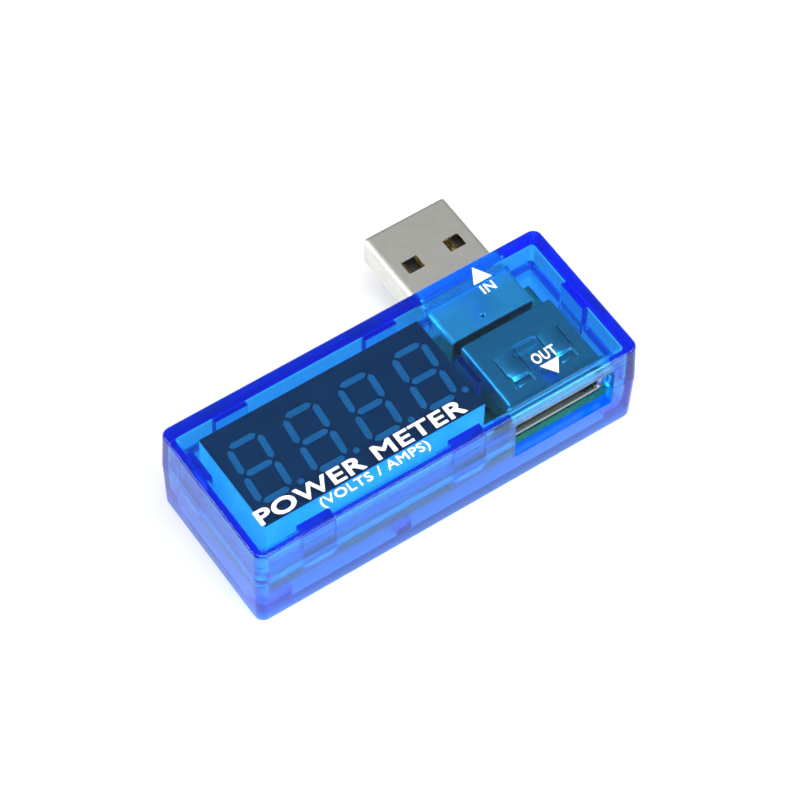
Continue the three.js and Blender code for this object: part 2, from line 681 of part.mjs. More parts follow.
function circuitBoard() {
  const sheet = box(
    boardInset, CASING_LENGTH - boardInset, boardInset, CASING_WIDTH - boardInset, boardBottom, boardTop,
  );
  const legHoles = legs.map(([x0, x1, y0, y1]) => box(
    x0 - HOLE_CLEARANCE, x1 + HOLE_CLEARANCE, y0 - HOLE_CLEARANCE, y1 + HOLE_CLEARANCE,
    boardBottom - 1, boardTop + 1,
  ));
  const pinHoles = pins.map((pin) => pinBox(pin, HOLE_CLEARANCE, boardBottom - 1, boardTop + 1));
  return carved([sheet], [...legHoles, ...pinHoles]);
}

// A chip under the board with bent leads along its two long sides. A lead's profile is in
// [outwards from the body's side, down from the board].
function leadedChip({ length, width, height, leads, pitch }, x, y) {
  const top = boardBottom - SEAT - CHIP_STANDOFF;
  const body = box(x - length / 2, x + length / 2, y - width / 2, y + width / 2, top - height, top);
  const rooted = -0.15;
  const knee = LEAD_DROP + LEAD_THICKNESS;
  const profile = [
    [rooted, LEAD_DROP], [LEAD_KNEE, LEAD_DROP], [LEAD_KNEE, 0], [LEAD_REACH, 0],
    [LEAD_REACH, LEAD_THICKNESS], [LEAD_KNEE + LEAD_THICKNESS, LEAD_THICKNESS],
    [LEAD_KNEE + LEAD_THICKNESS, knee], [rooted, knee],
  ];
  const strips = Array.from({ length: leads }, (_, i) => x + (i - (leads - 1) / 2) * pitch)
    .flatMap((leadX) => [-1, 1].map((side) => {
      const placed = profile.map(([out, down]) => [
        y + side * (width / 2 + out), boardBottom - SEAT - down,
      ]);
      return sideways(side > 0 ? placed : placed.reverse(), leadX, pitch * LEAD_SHARE_OF_PITCH);
    }));
  return carved([body, ...strips], []);
}

// A chip resistor or capacitor lying flat under the board.
function chipPart({ length, width, height }, x, y) {
  const top = boardBottom - SEAT;
  return box(x - length / 2, x + length / 2, y - width / 2, y + width / 2, top - height, top);
}

place('circuit_board', circuitBoard(), boardGreen);

const supplyPartsY = plugRear + SUPPLY_PARTS_PAST_PLUG_REAR;
const microcontroller = leadedChip(MICROCONTROLLER, displayCentreX - MICROCONTROLLER_LEFT, displayCentreY);
const senseAmplifier = leadedChip(SENSE_AMPLIFIER, displayCentreX + SENSE_AMPLIFIER_RIGHT, displayCentreY);
const regulator = leadedChip(VOLTAGE_REGULATOR, connectorX - REGULATOR_LEFT, supplyPartsY);
place('microcontroller', microcontroller, chipBlack);
place('sense_amplifier', senseAmplifier, chipBlack);
place('voltage_regulator', regulator, chipBlack);
place('shunt_resistor', chipPart(SHUNT, connectorX, SHUNT_FROM_FRONT), resistorBlack);

const resistorPlaces = [-0.5, 0.5].flatMap((across) => [-0.5, 0.5].map((along) => [
  displayCentreX + RESISTORS_RIGHT + across * RESISTOR_SPACING[0],
  displayCentreY + along * RESISTOR_SPACING[1],
]));
resistorPlaces.forEach(([x, y], i) => {
  place(`chip_resistor_${i + 1}`, chipPart(CHIP_RESISTOR, x, y), resistorBlack);
});
CAPACITORS_RIGHT.forEach((right, i) => {
  const capacitor = chipPart(CHIP_CAPACITOR, connectorX + right, supplyPartsY);
  place(`chip_capacitor_${i + 1}`, capacitor, capacitorTan);
});

// ---------- the whole object about its own origin ----------

meter.position.set(-CASING_LENGTH / 2, -plugTip / 2, 0);
const powerMeter = new THREE.Group();
powerMeter.add(meter);

export default powerMeter;
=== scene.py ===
"""A plug-in power meter for a USB port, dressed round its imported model.

Sizes are in millimetres from the casing's left front bottom corner, as in the model's source:
X runs along the casing, Y from the receptacle towards the plug, Z up. Meshes are made in
metres in the model's own frame.
"""

import math

import bmesh
import bpy
import numpy as np
from mathutils import Matrix, Vector


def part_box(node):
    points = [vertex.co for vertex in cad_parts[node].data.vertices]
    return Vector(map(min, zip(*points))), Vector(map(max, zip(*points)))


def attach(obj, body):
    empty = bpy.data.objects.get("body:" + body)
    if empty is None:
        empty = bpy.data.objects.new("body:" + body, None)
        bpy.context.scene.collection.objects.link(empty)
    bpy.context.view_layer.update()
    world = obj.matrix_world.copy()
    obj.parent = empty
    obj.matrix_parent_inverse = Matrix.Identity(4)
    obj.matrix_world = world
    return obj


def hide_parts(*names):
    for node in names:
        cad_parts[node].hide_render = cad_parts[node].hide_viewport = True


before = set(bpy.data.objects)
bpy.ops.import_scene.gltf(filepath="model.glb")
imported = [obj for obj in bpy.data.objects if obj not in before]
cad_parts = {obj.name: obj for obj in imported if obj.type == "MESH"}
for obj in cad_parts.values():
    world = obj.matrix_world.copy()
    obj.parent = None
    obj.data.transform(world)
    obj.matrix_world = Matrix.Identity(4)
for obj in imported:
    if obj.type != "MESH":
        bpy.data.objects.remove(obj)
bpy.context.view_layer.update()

# ---------- casing ----------
# Two halves of clear blue polycarbonate, injection moulded with 1.5 mm walls. The lower half
# has a lip that stands inside the upper wall, and the upper half has snap tongues whose hooks
# click into pockets of the lower wall.

MM = 0.001
corner = np.array(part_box("lower_casing")[0])


def span(node):
    """Lowest and highest corner of a node of the model, in millimetres from the casing's corner."""
    low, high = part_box(node)
    return (np.array(low) - corner) / MM, (np.array(high) - corner) / MM


def new_piece(name, points, faces, smooth=True):
    """A mesh object made of points in millimetres from the casing's corner."""
    mesh = bpy.data.meshes.new(name)
    mesh.from_pydata((corner + MM * np.asarray(points)).tolist(), [], faces)
    mesh.shade_smooth() if smooth else mesh.shade_flat()
    thing = bpy.data.objects.new(name, mesh)
    bpy.context.scene.collection.objects.link(thing)
    return thing


def rounded_ring(low, high, radius, steps=6):
    """Points round a rectangle, anticlockwise. Each corner is a quarter circle of the radius
    about a point that far inside both sides: centre + radius * (cos angle, sin angle)."""
    angle = np.linspace(0, np.pi / 2, steps + 1) + np.arange(4)[:, None] * np.pi / 2
    side = np.array([[1, 1], [-1, 1], [-1, -1], [1, -1]])
    middle, half = (np.add(low, high)) / 2, np.subtract(high, low) / 2
    centre = middle + side * (half - radius)
    return (centre[:, None] + radius * np.stack([np.cos(angle), np.sin(angle)], -1)).reshape(-1, 2)


def stacked(rings, heights):
    """Rings of points set at their heights, as one grid of rings by points."""
    heights = np.broadcast_to(np.asarray(heights, float)[:, None, None], (*np.shape(rings)[:2], 1))
    return np.concatenate([np.asarray(rings, float), heights], axis=-1)


def lofted(grid, looped=False):
    """Points and faces of a skin over a grid of rings. Each face joins two neighbours of one
    ring to the same two of the next ring. A loft that isn't looped gets a flat face at each end."""
    rings, around = grid.shape[:2]
    index = np.arange(rings * around).reshape(rings, around)
    if looped:
        index = np.vstack([index, index[:1]])
    ahead = np.roll(index, -1, axis=1)
    skin = np.stack([index[:-1], ahead[:-1], ahead[1:], index[1:]], -1).reshape(-1, 4).tolist()
    ends = [] if looped else [index[0, ::-1].tolist(), index[-1].tolist()]
    return grid.reshape(-1, 3), skin + ends


def casing_ring(inset, radius):
    """The casing's outline moved inwards by the inset, with its own corner radius."""
    return rounded_ring([inset, inset], [length - inset, width - inset], radius)


def rounded_block(low, high, radius=0.12, edge=0.0, steps=3):
    """A box whose broad_face edges have a radius. Its top and bottom edges are rounded too when
    `edge` is set: each ring there is drawn in by edge * (1 - cos angle)."""
    low, high = np.array(low, float), np.array(high, float)
    angle = np.linspace(0, np.pi / 2, 4) if edge else np.zeros(1)
    inset = edge * (1 - np.cos(angle))
    rise = edge * (1 - np.sin(angle))
    insets = np.concatenate([inset[::-1], inset])
    heights = np.concatenate([low[2] + rise[::-1], high[2] - rise])
    rings = [rounded_ring(low[:2] + d, high[:2] - d, max(radius - d, 0.02), steps) for d in insets]
    return lofted(stacked(rings, heights))


def combine(body, operation, solids):
    """Joins the solids to the body, or cuts them out of it, and keeps the result as its mesh."""
    tools = [new_piece("tool", *solid) for solid in solids]
    for tool in tools:
        step = body.modifiers.new("step", "BOOLEAN")
        step.operation, step.object, step.solver = operation, tool, "EXACT"
    graph = bpy.context.evaluated_depsgraph_get()
    made = bpy.data.meshes.new_from_object(body.evaluated_get(graph))
    body.modifiers.clear()
    body.data = made
    for tool in tools:
        bpy.data.objects.remove(tool)


def soften(body, reach):
    """Small bevels on the sharp edges, and normals that keep the broad faces flat."""
    sharp_angle, flat_weight = 35, 90
    bevel = body.modifiers.new("edges", "BEVEL")
    bevel.width, bevel.segments = reach * MM, 2
    bevel.limit_method, bevel.angle_limit = "ANGLE", math.radians(sharp_angle)
    bevel.use_clamp_overlap = True
    bevel.miter_outer = "MITER_ARC"
    flat = body.modifiers.new("flat faces", "WEIGHTED_NORMAL")
    flat.mode, flat.weight, flat.keep_sharp = "FACE_AREA", flat_weight, False


(_, (length, width, lip_top)) = span("lower_casing")
casing_top = span("upper_casing")[1][2]
tongue_foot = span("upper_casing")[0][2]
wall, corner_radius, edge_round, draft, seam_gap = 1.5, 1.2, 0.4, 0.2, 0.02
lip_height, lip_thickness, lip_root, fit = 1.3, 0.6, 1.2, 0.1
inner_radius, inner_round, sharp_radius, overlap = 0.45, 0.25, 0.3, 0.2
parting = lip_top - lip_height
ceiling = casing_top - wall
lip_inset = wall + fit + lip_thickness
lip_radius, lip_slope = 0.35, 0.3


def outer_wall(z_end):
    """Rings of one half's outside, from its flat end to the parting plane. The edge is a
    quarter circle, and the wall leans out by the draft on its way to the parting plane."""
    angle = np.linspace(0, np.pi / 2, 9)
    inset = edge_round * (1 - np.sin(angle))
    z = z_end + np.sign(parting - z_end) * edge_round * (1 - np.cos(angle))
    lean = draft * (1 - np.abs(z - z_end) / abs(parting - z_end))
    rings = [casing_ring(d + k, max(corner_radius - d, lip_radius)) for d, k in zip(inset, lean)]
    meeting = parting + np.sign(z_end - parting) * seam_gap
    return [*rings, casing_ring(0, corner_radius)], [*z, meeting]


rings, heights = outer_wall(casing_top)
inner = [casing_ring(wall + inner_round, sharp_radius),
         casing_ring(wall, inner_radius), casing_ring(wall, inner_radius)]
upper = new_piece("upper_casing_shell", *lofted(stacked(
    [*inner, *rings[::-1]], [ceiling, ceiling - inner_round, heights[-1], *heights[::-1]],
)))
rings, heights = outer_wall(0)
inner = [(wall + fit, heights[-1]), (wall + fit, lip_top), (lip_inset, lip_top),
         (lip_inset, parting - lip_root + lip_slope), (wall, parting - lip_root - lip_slope),
         (wall, wall + inner_round), (wall + inner_round, wall)]
lower = new_piece("lower_casing_shell", *lofted(stacked(
    [*rings, *(casing_ring(d, lip_radius) for d, _ in inner)],
    [*heights, *(z for _, z in inner)],
)))

# The front window and the way through the back wall for the plug.
flange_low, flange_high = span("receptacle_shell")
plug_low, plug_high = span("plug_shell")
board_low, board_high = span("circuit_board")
board_bottom, board_top = board_low[2], board_high[2]
behind_wall = lip_inset + overlap
flange_rise, window_below, plug_thickness, play = 0.1, 0.4, 4.5, 0.05
receptacle_top = flange_high[2] - flange_rise
window_top = receptacle_top - window_below
openings = [
    rounded_block([flange_low[0] - fit, -1, board_top + fit],
                  [flange_high[0] + fit, behind_wall, window_top]),
    rounded_block([plug_low[0] - fit, width - behind_wall, plug_high[2] - plug_thickness - play],
                  [plug_high[0] + fit, width + 1, plug_high[2] + fit]),
]

# The snap tongues, as [wall, place of the middle along it].
tongue_width, tongue_thickness, hook_reach, hook_height = 4.5, 0.8, 0.35, 0.8
tongues = [("front", 8.9), ("front", 29.9), ("back", 8.9), ("back", 29.9),
           ("left", 15.3), ("right", 11)]


def wall_block(side, middle, half, start, end, z0, z1, radius=0.12, edge=0.0):
    """A block on one wall: `start` and `end` are depths from that wall's outer face."""
    a, b = middle - half, middle + half
    low, high = {
        "front": ((a, start), (b, end)),
        "back": ((a, width - end), (b, width - start)),
        "left": ((start, a), (end, b)),
        "right": ((length - end, a), (length - start, b)),
    }[side]
    return rounded_block([*low, z0], [*high, z1], radius, edge)


inner_face = wall + tongue_thickness
half = tongue_width / 2
hook_inset, hook_edge, tongue_overlap, hair = 0.4, 0.1, 0.3, 0.02
hanging, pockets = [], []
for side, middle in tongues:
    hanging.append(wall_block(side, middle, half, wall - tongue_overlap, inner_face,
                              parting + seam_gap, ceiling + tongue_overlap))
    hanging.append(wall_block(side, middle, half, wall + play, inner_face,
                              tongue_foot, parting + tongue_overlap, edge=hook_edge))
    hanging.append(wall_block(side, middle, half - hook_inset, wall - hook_reach,
                              inner_face - hook_edge, tongue_foot + hair,
                              tongue_foot + hook_height, edge=hook_edge))
    pockets.append(wall_block(side, middle, half + fit, wall, inner_face + overlap,
                              tongue_foot - fit, casing_top))
    pockets.append(wall_block(side, middle, half + fit, wall - hook_reach - fit,
                              inner_face + overlap, tongue_foot - fit,
                              tongue_foot + hook_height + fit))

# A rib between the display and the receptacle, and an oval ring over the receptacle.
display_low, display_high = span("display_housing")
receptacle_width, receptacle_height = 13.1, 5.7
rib_thickness, rib_length, rib_height, rib_forward = 0.7, 4.5, 4, 2
ring_half, ring_wall, ring_behind_mouth = np.array([1.9, 0.85]), 0.4, 6.3
connector_x = (flange_low[0] + flange_high[0]) / 2
rib_x = (display_high[0] + connector_x - receptacle_width / 2) / 2
rib_y = (display_low[1] + display_high[1]) / 2 - rib_forward
rib = rounded_block([rib_x - rib_thickness / 2, rib_y - rib_length / 2, ceiling - rib_height],
                    [rib_x + rib_thickness / 2, rib_y + rib_length / 2, ceiling + overlap])
ring_middle = np.array([connector_x, flange_low[1] + ring_behind_mouth])


def oval_block(half, low, high):
    """A block with round ends along X, from `low` up to `high`."""
    return rounded_block([*(ring_middle - half), low], [*(ring_middle + half), high],
                         half[1] - 0.01, steps=8)


ring = oval_block(ring_half, receptacle_top + play, ceiling + overlap)
ring_bore = oval_block(ring_half - ring_wall, receptacle_top - 1, ceiling)
combine(upper, "DIFFERENCE", openings)
combine(upper, "UNION", [*hanging, rib, ring])
combine(upper, "DIFFERENCE", [ring_bore])

# Ledges at the corners and ribs at mid length that carry the board's long edges.
ledge_reach, ledge_end, middle_rib = lip_inset + fit + 1, 5, (19.7, 21.7)
past_tabs = connector_x + receptacle_width / 2 + 0.15
in_wall = wall - overlap
ledges = [
    rounded_block([x0, y0, in_wall], [x1, y1, board_bottom - play])
    for x0, x1 in [(in_wall, ledge_end), middle_rib, (past_tabs, length - in_wall)]
    for y0, y1 in [(in_wall, ledge_reach), (width - ledge_reach, width - in_wall)]
]
combine(lower, "DIFFERENCE", [*openings, *pockets])
combine(lower, "UNION", ledges)
for half_casing in (upper, lower):
    soften(half_casing, 0.07)


class Signal:
    """A socket of a material's nodes that can be used in sums like a number."""

    def __init__(self, finish, socket):
        self.finish, self.socket = finish, socket

    def maths(self, operation, *values, clamp=False):
        return self.finish.node("Math", {"operation": operation, "use_clamp": clamp},
                                dict(enumerate(values)))

    def __add__(self, other):
        return self.maths("ADD", self, other)

    def __sub__(self, other):
        return self.maths("SUBTRACT", self, other)

    def __rsub__(self, other):
        return self.maths("SUBTRACT", other, self)

    def __mul__(self, other):
        return self.maths("MULTIPLY", self, other)

    def __pow__(self, power):
        return self.maths("POWER", self, power)

    def __gt__(self, other):
        return self.maths("GREATER_THAN", self, other)

    def __lt__(self, other):
        return self.maths("LESS_THAN", self, other)

    def __abs__(self):
        return self.maths("ABSOLUTE", self)

    def wave(self):
        """The sine of the signal."""
        return self.maths("SINE", self)

    def within(self, low, high):
        """0 below low, 1 above high and a smooth step between them."""
        return self.finish.node("MapRange", {"interpolation_type": "SMOOTHSTEP"},
                                {0: self, 1: low, 2: high, 3: 0.0, 4: 1.0})

    __radd__, __rmul__ = __add__, __mul__


class Finish:
    """A material under construction: its nodes are made by one method."""

    def __init__(self, name):
        self.material = bpy.data.materials.new(name)
        self.material.use_nodes = True
        self.tree = self.material.node_tree
        self.tree.nodes.clear()
        self.place = self.node("Mapping", {}, {
            "Vector": self.node("TexCoord", output="Object"),
            "Location": -corner / MM, "Scale": (1 / MM,) * 3})
        split = self.node("SeparateXYZ", {}, {"Vector": self.place})
        outputs = split.socket.node.outputs
        self.x, self.y, self.z = (Signal(self, socket) for socket in outputs)

    def node(self, kind, settings=None, inputs=None, output=0):
        """A node of one kind, with its settings and then the values or links of its sockets."""
        made = self.tree.nodes.new("ShaderNode" + kind)
        for key, value in (settings or {}).items():
            setattr(made, key, value)
        for key, value in (inputs or {}).items():
            if isinstance(value, Signal):
                self.tree.links.new(value.socket, made.inputs[key])
            else:
                made.inputs[key].default_value = value
        return Signal(self, made.outputs[output])

    def noise(self, size, detail=2.0, stretch=(1, 1, 1), output=0):
        """Cloudy noise whose blotches are about `size` millimetres, stretched along the axes."""
        scaled = self.node("Mapping", {}, {
            "Vector": self.place, "Scale": [1 / (size * s) for s in stretch]})
        return self.node("TexNoise", {}, {"Vector": scaled, "Scale": 1.0, "Detail": detail},
                         output)

    def blend(self, factor, first, second):
        """The first colour where the factor is 0 and the second where it is 1."""
        first, second = (colour if isinstance(colour, Signal) else (*colour, 1)
                         for colour in (first, second))
        return self.node("Mix", {"data_type": "RGBA"}, {0: factor, 6: first, 7: second}, output=2)

    def upward(self):
        """How far the surface faces up: 1 on a top, 0 on a side and -1 underneath."""
        normal = self.node("NewGeometry", output="Normal")
        return self.node("SeparateXYZ", {}, {"Vector": normal}, output="Z")

    def relief(self, height, depth):
        """A surface whose height runs from 0 to `depth` millimetres."""
        return self.node("Bump", {}, {"Height": height, "Distance": depth * MM, "Strength": 1.0})

    def surface(self, **values):
        """The main shader, with underscores standing for spaces in the names of its sockets."""
        named = {key.replace("_", " "): value for key, value in values.items()}
        return self.node("BsdfPrincipled", {}, named)

    def done(self, shader, volume=None):
        """The finished material, with its surface shader and, if it is clear, what fills it."""
        output = self.tree.nodes.new("ShaderNodeOutputMaterial")
        self.tree.links.new(shader.socket, output.inputs["Surface"])
        if volume:
            self.tree.links.new(volume.socket, output.inputs["Volume"])
        return self.material


def finish_piece(piece, material, replaces=()):
    """Gives a new piece its finish, sets it on the body and hides the nodes of the model
    that it stands for.
    """
    piece.data.materials.clear()
    piece.data.materials.append(material)
    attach(piece, "root")
    if replaces:
        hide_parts(*replaces)


def blue_plastic():
    """Clear blue plastic: light is tinted by the length of its way through the wall. The
    surface has faint ripples and smudges. It is set less glossy at the sides, and matt
    underneath and on the window's upper edge. Shadow rays get one fixed pale tint."""
    f = Finish("blue_plastic")
    ripple = f.noise(5, 1)
    smudge = f.noise(1.5, 3)
    level = abs(f.upward()).within(0.3, 0.9)
    underside = f.z < 0.05
    lintel = (abs(f.z - float(window_top)) < 0.06) * (f.y < wall + 0.1)
    shell = f.surface(
        Base_Color=(1, 1, 1, 1),
        Roughness=0.02 + smudge * 0.05 + (1 - level) * 0.2 + (underside + lintel) * 0.5,
        IOR=1.42,
        Transmission_Weight=1.0,
        Normal=f.relief(ripple, 0.004),
    )
    let_through = f.node("BsdfTransparent", {}, {"Color": (0.9, 0.93, 1, 1)})
    shadow = f.node("LightPath", output="Is Shadow Ray")
    seen = f.node("MixShader", {}, {0: shadow, 1: shell, 2: let_through})
    body = f.node("VolumeAbsorption", {}, {"Color": (0.0, 0.75, 0.987, 1), "Density": 1100.0})
    return f.done(seen, body)


blue = blue_plastic()
finish_piece(upper, blue, ["upper_casing"])
finish_piece(lower, blue, ["lower_casing"])

# ---------- plug shell ----------
# The shell of a Standard-A plug: 0.3 mm nickel-plated steel, folded into a tube with its seam
# underneath. It has two windows in its top and bottom, a drawn-in lip at its mouth, a small round
# dimple in its top inside the casing, and two tabs that are soldered into the board.


def along_y(grid):
    """Turns a grid whose rings lie flat so that its height runs towards the front, along -Y."""
    return np.stack([grid[..., 0], -grid[..., 2], grid[..., 1]], -1)


def ball(centre, radius, squash=1.0):
    """A closed dome on both sides: rings of radius * sin(angle) at radius * -cos(angle), the
    height multiplied by `squash`."""
    tilt = np.linspace(0.05, np.pi - 0.05, 9)
    turn = np.linspace(0, 2 * np.pi, 20, endpoint=False)
    circle = np.stack([np.cos(turn), np.sin(turn)], -1)
    rings = np.array(centre[:2]) + radius * np.sin(tilt)[:, None, None] * circle
    return lofted(stacked(rings, centre[2] - squash * radius * np.cos(tilt)))


sheet, plug_corner = 0.3, 0.62
plug_top, plug_bottom = plug_high[2], plug_high[2] - plug_thickness
plug_rear, plug_tip = plug_low[1], plug_high[1]


def plug_ring(inset):
    """The plug's section, a rectangle with round corners, drawn in by the inset."""
    low, high = [plug_low[0] + inset, plug_bottom + inset], [plug_high[0] - inset, plug_top - inset]
    return rounded_ring(low, high, max(plug_corner - inset, 0.15), 7)


lip = [(0.5, 0), (0.3, 0.03), (0.12, 0.1), (0.02, 0.2), (0, 0.27), (0.04, 0.36), (0.25, 0.36),
       (0.6, sheet)]
walls = [(plug_rear, sheet), *((plug_tip - back, inset) for back, inset in lip[::-1]),
         (plug_rear, 0)]
tube = along_y(stacked([plug_ring(d) for _, d in walls], [-y for y, _ in walls]))
plug = new_piece("plug_shell_folded", *lofted(tube[::-1], looped=True))
window_y, window_half, window_spread = width + 5.8, (1.15, 1), 3.05
windows = [rounded_block([x - window_half[0], window_y - window_half[1], plug_bottom - 1],
                         [x + window_half[0], window_y + window_half[1], plug_top + 1], 0.15)
           for x in (connector_x - window_spread, connector_x + window_spread)]
dimple_left, dimple_y, dimple_radius = 0.5, 16.3, 0.42
dimple = ball([connector_x - dimple_left, dimple_y, plug_top + 0.05], dimple_radius)
seam_half, seam_depth = 0.05, 0.12
seam = rounded_block([connector_x - seam_half, plug_rear - 1, plug_bottom - 1],
                     [connector_x + seam_half, plug_tip + 1, plug_bottom + seam_depth], 0.02)
combine(plug, "DIFFERENCE", [*windows, dimple, seam])
leg_foot, tab_half = plug_low[2], 0.75
plug_tab_y, plug_tab_top = plug_rear + 2, 6.3


def soldering_tabs(low_x, high_x, middle_y, top):
    """A pair of tabs that stand in the planes of a shell's two sides."""
    return [rounded_block([x, middle_y - tab_half, leg_foot],
                          [x + sheet, middle_y + tab_half, top], 0.05)
            for x in (low_x, high_x - sheet)]


combine(plug, "UNION", soldering_tabs(plug_low[0], plug_high[0], plug_tab_y, plug_tab_top))
soften(plug, 0.05)


def nickel(name, colour, roughness, along, shaded_mouth_floor=None):
    """Nickel over steel: faint lines along one axis and a cloudy gloss. Where the height of a
    mouth's floor is given, the shell low in that mouth is darkened and browned as painted shade."""
    mouth_half, floor_from, floor_to = 6.28, 0.1, 1.5
    f = Finish(name)
    lines = f.noise(0.05, 2, stretch=along)
    cloud = f.noise(2.5, 3)
    tone = f.blend(cloud.within(0.35, 0.7), colour, tuple(c * 0.9 for c in colour))
    # Painted shade: the shell low in the receptacle's mouth, within the mouth's width, is set dark
    # brown.
    if shaded_mouth_floor is not None:
        painted_mouth_shade = (abs(f.x - float(connector_x)) < mouth_half) * (
            f.z > shaded_mouth_floor + floor_from) * (f.z < shaded_mouth_floor + floor_to)
        tone = f.blend(painted_mouth_shade, tone, (0.2, 0.17, 0.13))
    return f.done(f.surface(
        Base_Color=tone, Metallic=1.0, Roughness=roughness + cloud * 0.06 + lines * 0.05,
        Normal=f.relief(lines, 0.0012),
    ))


plug_nickel = nickel("plug_nickel", (0.8, 0.8, 0.73), 0.3, (1, 30, 1))
finish_piece(plug, plug_nickel, ["plug_shell"])

# ---------- receptacle shell ----------
# The shell of the Standard-A receptacle: nickel-plated steel drawn round the white insulator,
# with a flared mouth and four springs, cut free on three sides and bent in, that grip a plug.
# Two tabs are soldered into the board.

mouth, rear = flange_low[1], flange_high[1]
body_low = np.array([connector_x - receptacle_width / 2, receptacle_top - receptacle_height])
body_high = np.array([connector_x + receptacle_width / 2, receptacle_top])
flare_low = np.array([flange_low[0], body_low[1] - flange_rise])
flare_high = np.array([flange_high[0], flange_high[2]])


def shell_ring(inset, flare):
    """The shell's section: its body at flare 0 and the outline of its flange at flare 1."""
    low = body_low + (flare_low - body_low) * flare + inset
    high = body_high + (flare_high - body_high) * flare - inset
    return rounded_ring(low, high, 0.5 - inset * 0.6, 6)


walls = [(rear, 0.25, 0), (rear - 0.1, 0.06, 0), (rear - 0.3, 0, 0), (mouth + 0.7, 0, 0),
         (mouth + 0.5, 0, 0.1), (mouth + 0.4, 0, 0.35), (mouth + 0.32, 0, 0.7),
         (mouth + 0.28, 0, 1), (mouth, 0, 1), (mouth, 0.12, 0.8),
         (mouth + 0.1, 0.25, 0.4), (mouth + 0.3, 0.3, 0.1), (mouth + 0.7, sheet, 0),
         (rear - sheet, sheet, 0)]
can = along_y(stacked([shell_ring(d, k) for _, d, k in walls], [-y for y, _, _ in walls]))
receptacle = new_piece("receptacle_shell_drawn", *lofted(can))

spring_start, spring_end, spring_half, cut = mouth + 1.9, mouth + 6.8, 1.4, 0.12
spring_places = (connector_x - 2.95, connector_x + 3.25)
bottom, block_depth = body_low[1], 2.3
slots = [rounded_block([x - spring_half - cut, spring_start, z - 0.6],
                       [x + spring_half + cut, spring_end, z + 0.6], 0.05)
         for x in spring_places for z in (receptacle_top, bottom)]
block_front = rear - sheet - play - block_depth
foot_way = rounded_block([body_low[0] + sheet, block_front - play, board_top],
                         [body_high[0] - sheet, rear - sheet, bottom + 1], 0.05)
combine(receptacle, "DIFFERENCE", [*slots, foot_way])


def spring(x, z, inwards):
    """A bent finger along -Y. It leaves the sheet flat, dips inwards in a bell curve near its
    free end, exp(-((t - 0.8) / 0.055)^2), and narrows before the dip."""
    t = np.linspace(0, 1, 33)
    y = spring_end + 0.3 - t * (spring_end + 0.3 - spring_start - cut)
    dip = 0.05 * t + 0.2 * np.exp(-((t - 0.8) / 0.055) ** 2)
    narrow = spring_half - 0.3 / (1 + np.exp((0.62 - t) * 40))
    rings = [rounded_ring([x - n, z + inwards * d - sheet / 2],
                          [x + n, z + inwards * d + sheet / 2], 0.1, 2)
             for n, d in zip(narrow, dip)]
    return lofted(along_y(stacked(rings, -y)))


fingers = [spring(x, z, inwards)
           for x in spring_places
           for z, inwards in ((receptacle_top - sheet / 2, -1), (bottom + sheet / 2, 1))]
tab_y = (mouth + rear) / 2 + 1
tabs = soldering_tabs(body_low[0], body_high[0], tab_y, bottom + 1)
combine(receptacle, "UNION", [*fingers, *tabs])
soften(receptacle, 0.04)
# The last value is the floor of the mouth, above which painted shade darkens the shell dark brown.
shell_nickel = nickel("receptacle_nickel", (0.6, 0.6, 0.57), 0.2, (1, 30, 1), float(bottom))
finish_piece(receptacle, shell_nickel, ["receptacle_shell"])

# ---------- connector insides ----------
# The plug's block and tongue are black glass-filled plastic and the receptacle's are white.
# Each holds four stamped contacts, gilded where they rub and tinned at their legs.


def dress(names, material):
    """Gives nodes of the model, which keep their shape, their finish."""
    for name in names:
        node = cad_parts[name]
        node.data.materials.clear()
        node.data.materials.append(material)


def moulded(name, colour, roughness):
    """Moulded plastic: a fine eroded grain, and flow marks that shift its tone a little."""
    f = Finish(name)
    flow = f.noise(2.2, 2, stretch=(1, 2, 1))
    specks = f.noise(0.3, 2)
    tone = f.blend(flow, tuple(c * 0.86 for c in colour),
                   tuple(min(c * 1.08, 0.95) for c in colour))
    return f.done(f.surface(Base_Color=tone, Roughness=roughness + specks * 0.15,
                            Normal=f.relief(specks, 0.006)))


def contact_finish():
    """Gold with duller patches, and the colour of tin from just above the board downwards."""
    f = Finish("gilt_contact")
    wear = f.noise(0.6, 3).within(0.45, 0.6)
    in_leg = f.z < board_top + 0.4
    tin_or_gold = f.blend(in_leg, (0.86, 0.6, 0.25), (0.6, 0.6, 0.58))
    return f.done(f.surface(
        Base_Color=f.blend(wear * 0.35, tin_or_gold, (0.62, 0.5, 0.3)), Metallic=1.0,
        Roughness=0.22 + wear * 0.16 + in_leg * 0.15, Normal=f.relief(f.noise(0.08, 2), 0.002),
    ))


numbered = [f"{end}_contact_{i}" for end in ("plug", "receptacle") for i in range(1, 5)]
dress(numbered, contact_finish())
dress(["plug_insulator"], moulded("black_insulator", (0.03, 0.03, 0.028), 0.45))
dress(["receptacle_insulator"], moulded("white_insulator", (0.72, 0.72, 0.68), 0.4))

# ---------- display ----------
# A four-digit display: a white moulded housing filled with milky resin, which shows through
# slots as the bars of the digits, and a dark printed mask over its face. Its small board and
# two rows of pins are at its back.


def mask_finish():
    """Screen-printed black ink: a dense matt coat with the fine weave of its screen."""
    f = Finish("mask_ink")
    weave = (f.x * 40).wave() * (f.y * 40).wave()
    cloud = f.noise(3, 3)
    return f.done(f.surface(
        Base_Color=f.blend(cloud, (0.011, 0.01, 0.018), (0.018, 0.016, 0.027)),
        Roughness=0.32 + cloud * 0.15, Normal=f.relief(weave, 0.001),
    ))


